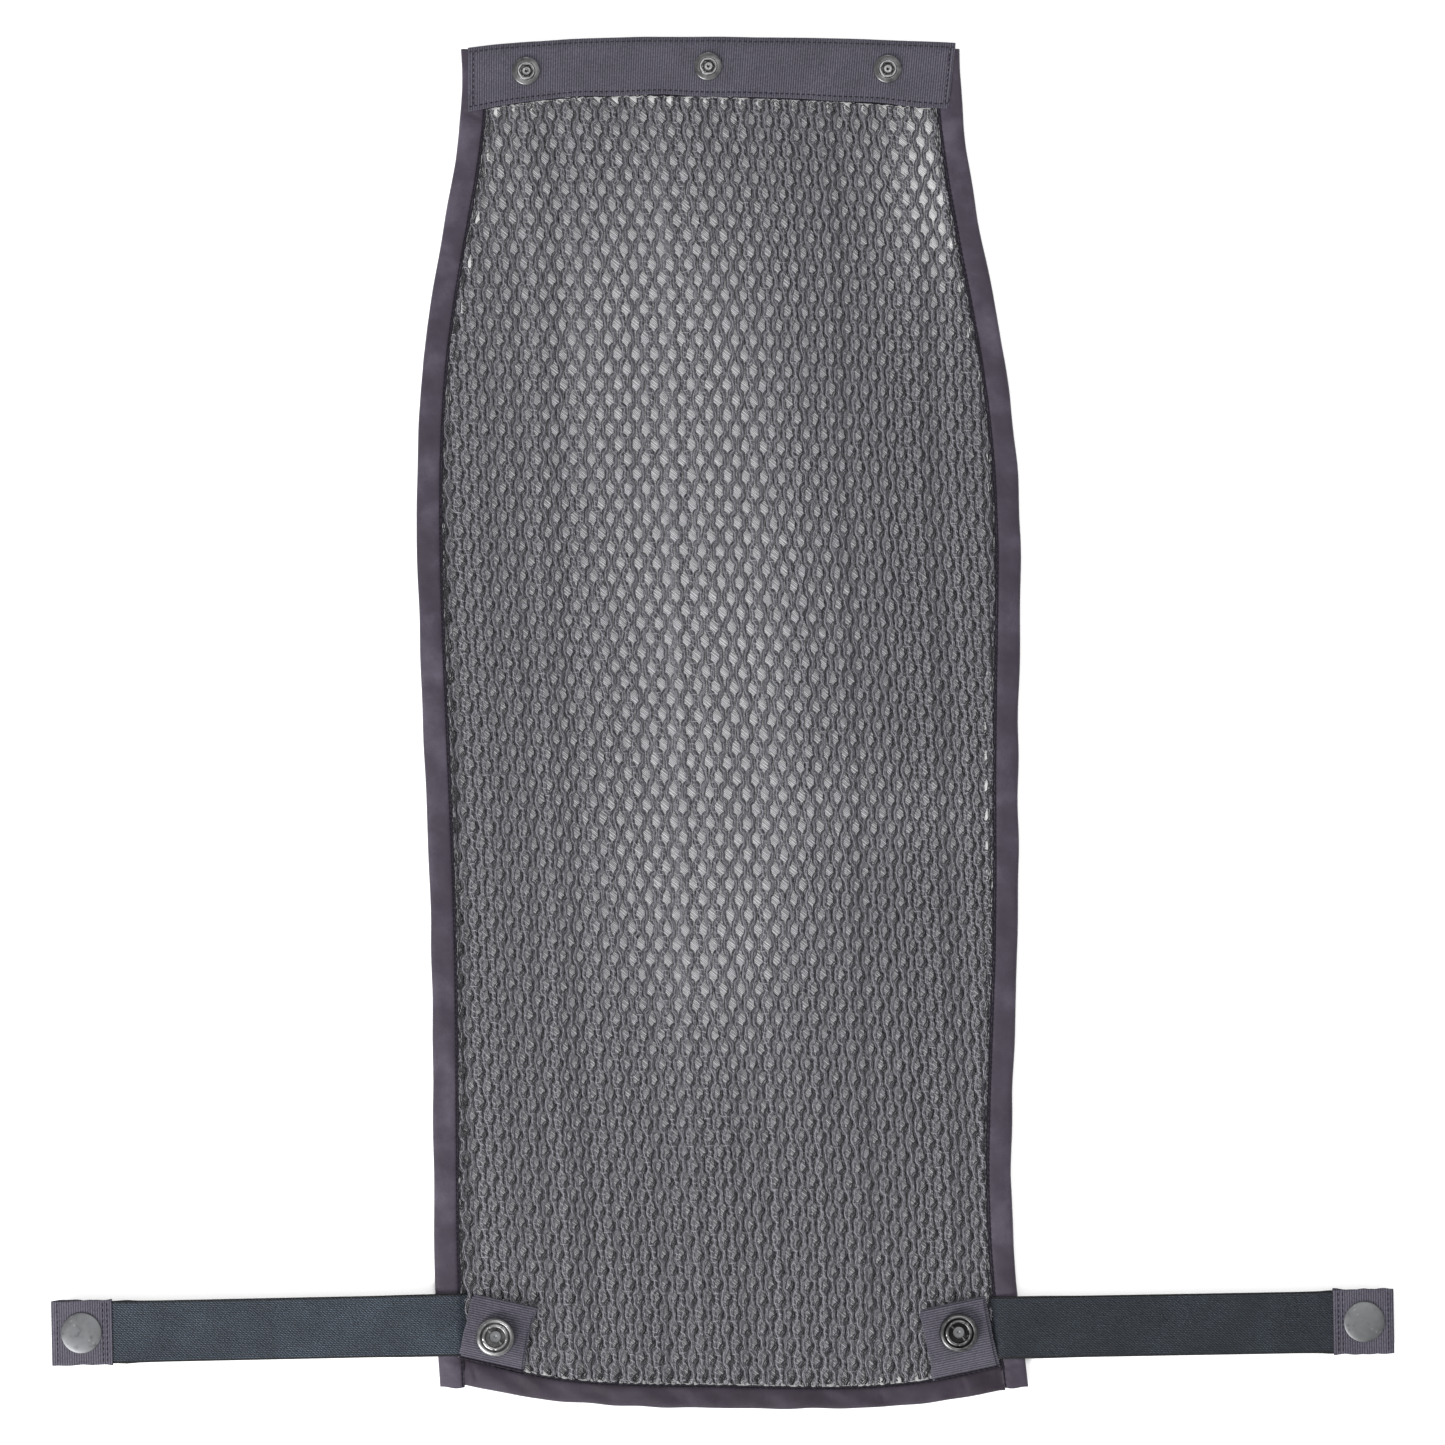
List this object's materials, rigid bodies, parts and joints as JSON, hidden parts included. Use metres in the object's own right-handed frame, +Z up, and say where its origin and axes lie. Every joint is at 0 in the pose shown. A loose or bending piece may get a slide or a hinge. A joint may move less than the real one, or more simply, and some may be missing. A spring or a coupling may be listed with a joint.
{
  "type": "soft baby carrier mesh panel",
  "caption": "Long padded net panel with bound edges, a band of snap studs along the top, socket tabs at the lower corners and an elastic snap strap at each side.",
  "frame": {"origin": "middle of the outline's box, on the surface the panel lies on", "axes": "+Z up out of the panel's front face, +Y towards the top band, +X towards the right-hand strap as seen from above"},
  "size_m": [0.524, 0.5353, 0.0097],
  "materials": {
    "spacer_mesh": "warp-knitted polyester spacer net, two open hexagonal faces joined by fine pile yarns",
    "binding_cloth": "smooth woven taffeta binding with a slight sheen",
    "grosgrain": "ribbed grosgrain tape",
    "elastic_webbing": "woven elastic with a fine herringbone twill and firm edge cords",
    "snap_metal": "gunmetal plated brass, worn brighter along its edges",
    "satin_cap": "satin gunmetal cap",
    "spring_wire": "bright spring wire"
  },
  "bodies": {
    "panel": {"mesh_panel": "spacer_mesh", "bottom_binding": "binding_cloth", "left_side_binding": "binding_cloth", "right_side_binding": "binding_cloth", "top_band_front": "grosgrain", "top_band_back": "grosgrain", "top_stud_left": "snap_metal", "top_stud_centre": "snap_metal", "top_stud_right": "snap_metal", "top_eyelet_left": "snap_metal", "top_eyelet_centre": "snap_metal", "top_eyelet_right": "snap_metal"},
    "left_tab": {"left_tab_loop": "grosgrain", "left_tab_socket": "snap_metal", "left_tab_spring": "spring_wire", "left_tab_cap": "satin_cap"},
    "left_strap": {"left_strap_elastic": "elastic_webbing"},
    "left_strap_end": {"left_strap_tab": "grosgrain", "left_strap_cap": "satin_cap", "left_strap_socket": "snap_metal", "left_strap_spring": "spring_wire"},
    "right_tab": {"right_tab_loop": "grosgrain", "right_tab_socket": "snap_metal", "right_tab_spring": "spring_wire", "right_tab_cap": "satin_cap"},
    "right_strap": {"right_strap_elastic": "elastic_webbing"},
    "right_strap_end": {"right_strap_tab": "grosgrain", "right_strap_cap": "satin_cap", "right_strap_socket": "snap_metal", "right_strap_spring": "spring_wire"}
  },
  "joints": [
    {"name": "left_tab_lift", "type": "hinge", "parent": "panel", "child": "left_tab", "pos_m": [-0.09005, -0.24951, 0.0056], "axis": [0.9763, -0.2164, 0], "range_deg": [0, 115]},
    {"name": "left_strap_fold", "type": "hinge", "parent": "panel", "child": "left_strap", "pos_m": [-0.1042, -0.2349, 0.0045], "axis": [0, 1, 0], "range_deg": [0, 115]},
    {"name": "left_strap_stretch", "type": "slide", "parent": "left_strap", "child": "left_strap_end", "axis": [-0.9998, -0.0209, 0], "range_m": [0, 0.05], "stiffness_N_per_m": 120, "deforming": ["left_strap_elastic"]},
    {"name": "right_tab_lift", "type": "hinge", "parent": "panel", "child": "right_tab", "pos_m": [0.09507, -0.253, 0.0056], "axis": [0.9781, 0.2079, 0], "range_deg": [0, 115]},
    {"name": "right_strap_fold", "type": "hinge", "parent": "panel", "child": "right_strap", "pos_m": [0.1092, -0.236, 0.0045], "axis": [0, -1, 0], "range_deg": [0, 115]},
    {"name": "right_strap_stretch", "type": "slide", "parent": "right_strap", "child": "right_strap_end", "axis": [0.9998, 0.0175, 0], "range_m": [0, 0.05], "stiffness_N_per_m": 120, "deforming": ["right_strap_elastic"]}
  ]
}
